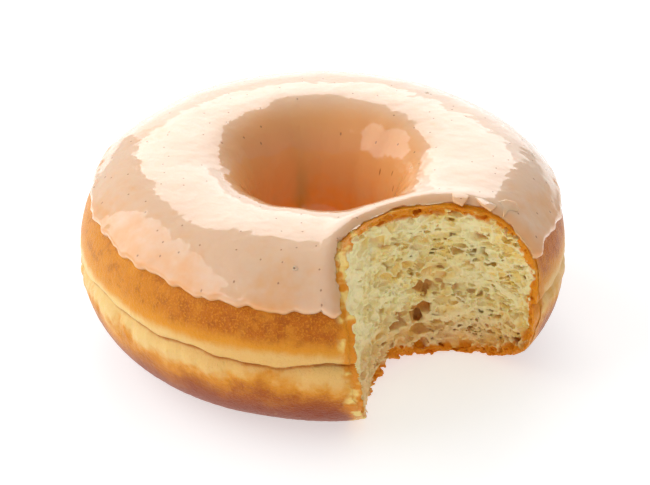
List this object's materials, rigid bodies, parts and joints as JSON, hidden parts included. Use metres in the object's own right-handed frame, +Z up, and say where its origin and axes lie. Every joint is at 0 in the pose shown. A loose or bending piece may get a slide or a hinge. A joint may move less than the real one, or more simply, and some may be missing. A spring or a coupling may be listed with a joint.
{
  "type": "bitten glazed ring doughnut",
  "caption": "Glazed ring doughnut with one bite out of its side, showing open crumb; it lies flat on its underside.",
  "frame": {"origin": "the middle of the underside's box, under the hole's centre, on the surface that the doughnut lies on", "axes": "+Z up through the hole; -Y is the front, and the bite is at the front towards +X"},
  "size_m": [0.0922, 0.0913, 0.04],
  "materials": {
    "fried_dough": "soft matt golden brown crust with a pale band, and pale yellow crumb at the bite",
    "set_glaze": "glossy, slightly see-through white sugar glaze"
  },
  "bodies": {
    "root": {"dough": "fried_dough", "glaze": "set_glaze"}
  },
  "joints": []
}
